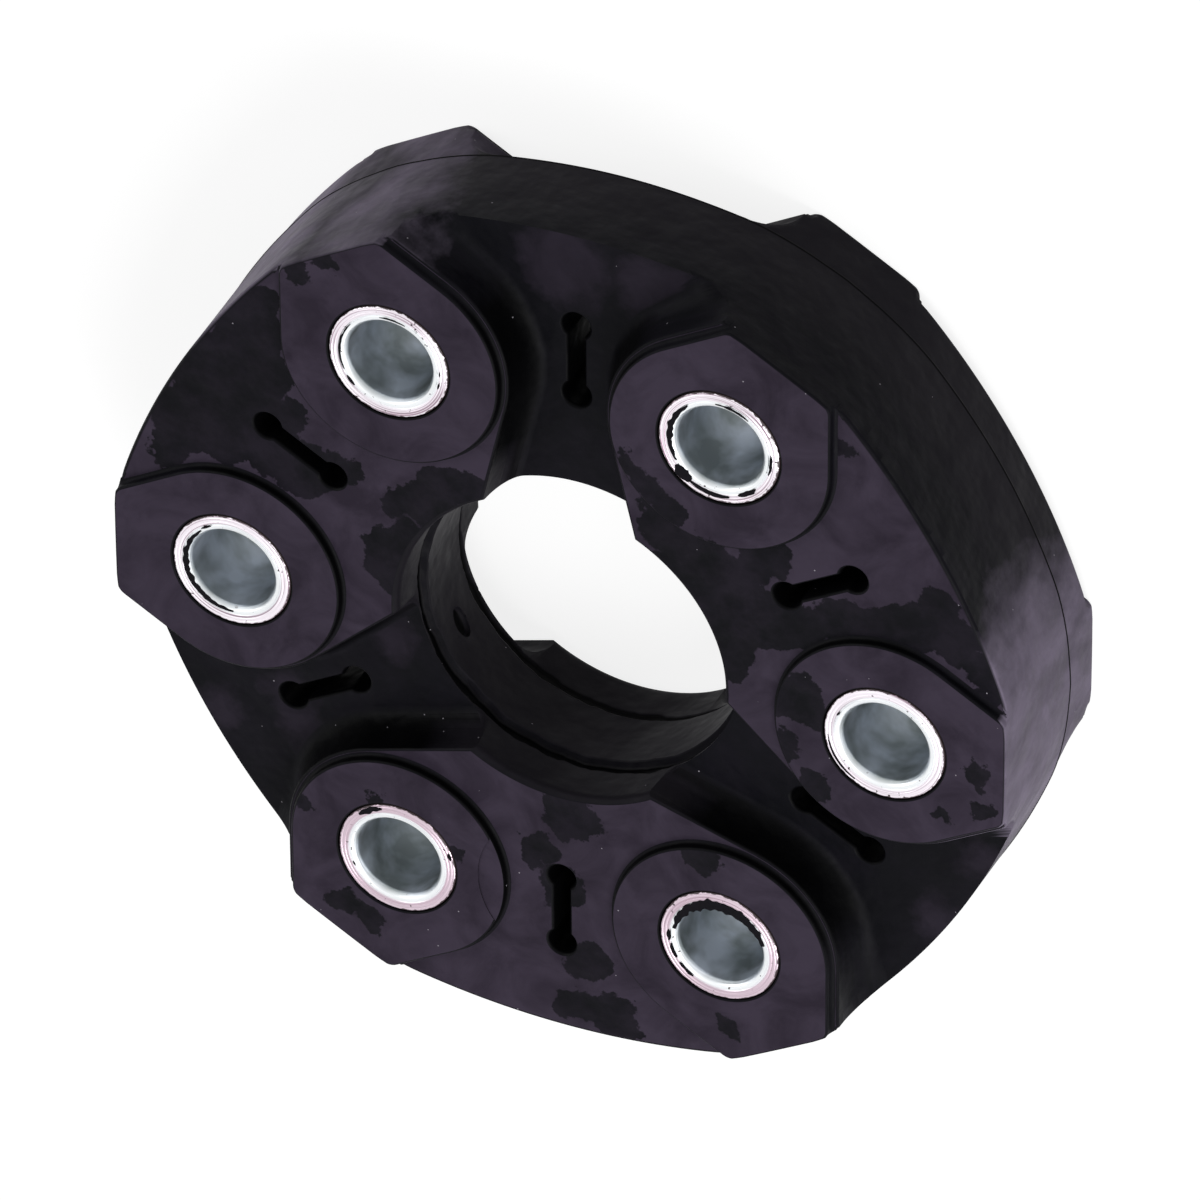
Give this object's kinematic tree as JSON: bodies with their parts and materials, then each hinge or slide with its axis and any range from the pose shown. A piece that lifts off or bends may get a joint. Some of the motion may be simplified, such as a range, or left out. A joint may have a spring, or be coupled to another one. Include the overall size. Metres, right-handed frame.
{
  "type": "driveshaft flex disc",
  "caption": "Flexible shaft coupling: a moulded rubber disc with alternating thick and thin spans joining steel bolt bushes on one circle, and an open centre.",
  "frame": {"origin": "centre of the disc at mid-thickness, on the shaft's axis", "axes": "+Z along the shaft's axis towards the front face, +Y through the first bush, +X through the middle of the thick span opposite a thin one"},
  "size_m": [0.1286, 0.1318, 0.03],
  "materials": {
    "moulded_rubber": "matt moulded, hazy bloom",
    "zinc_plated_steel": "bright zinc, satin",
    "pressed_steel": "plain pressed sheet",
    "bonded_cord": "wound cord set in rubber"
  },
  "bodies": {
    "root": {"rubber_body": "moulded_rubber", "bush_1": "zinc_plated_steel", "bush_2": "zinc_plated_steel", "bush_3": "zinc_plated_steel", "bush_4": "zinc_plated_steel", "bush_5": "zinc_plated_steel", "bush_6": "zinc_plated_steel", "collar_front_1": "pressed_steel", "collar_front_2": "pressed_steel", "collar_front_3": "pressed_steel", "collar_front_4": "pressed_steel", "collar_front_5": "pressed_steel", "collar_front_6": "pressed_steel", "collar_rear_1": "pressed_steel", "collar_rear_2": "pressed_steel", "collar_rear_3": "pressed_steel", "collar_rear_4": "pressed_steel", "collar_rear_5": "pressed_steel", "collar_rear_6": "pressed_steel", "cord_loop_front_1_2": "bonded_cord", "cord_loop_rear_1_2": "bonded_cord", "cord_loop_middle_2_3": "bonded_cord", "cord_loop_front_3_4": "bonded_cord", "cord_loop_rear_3_4": "bonded_cord", "cord_loop_middle_4_5": "bonded_cord", "cord_loop_front_5_6": "bonded_cord", "cord_loop_rear_5_6": "bonded_cord", "cord_loop_middle_6_1": "bonded_cord"}
  },
  "joints": []
}
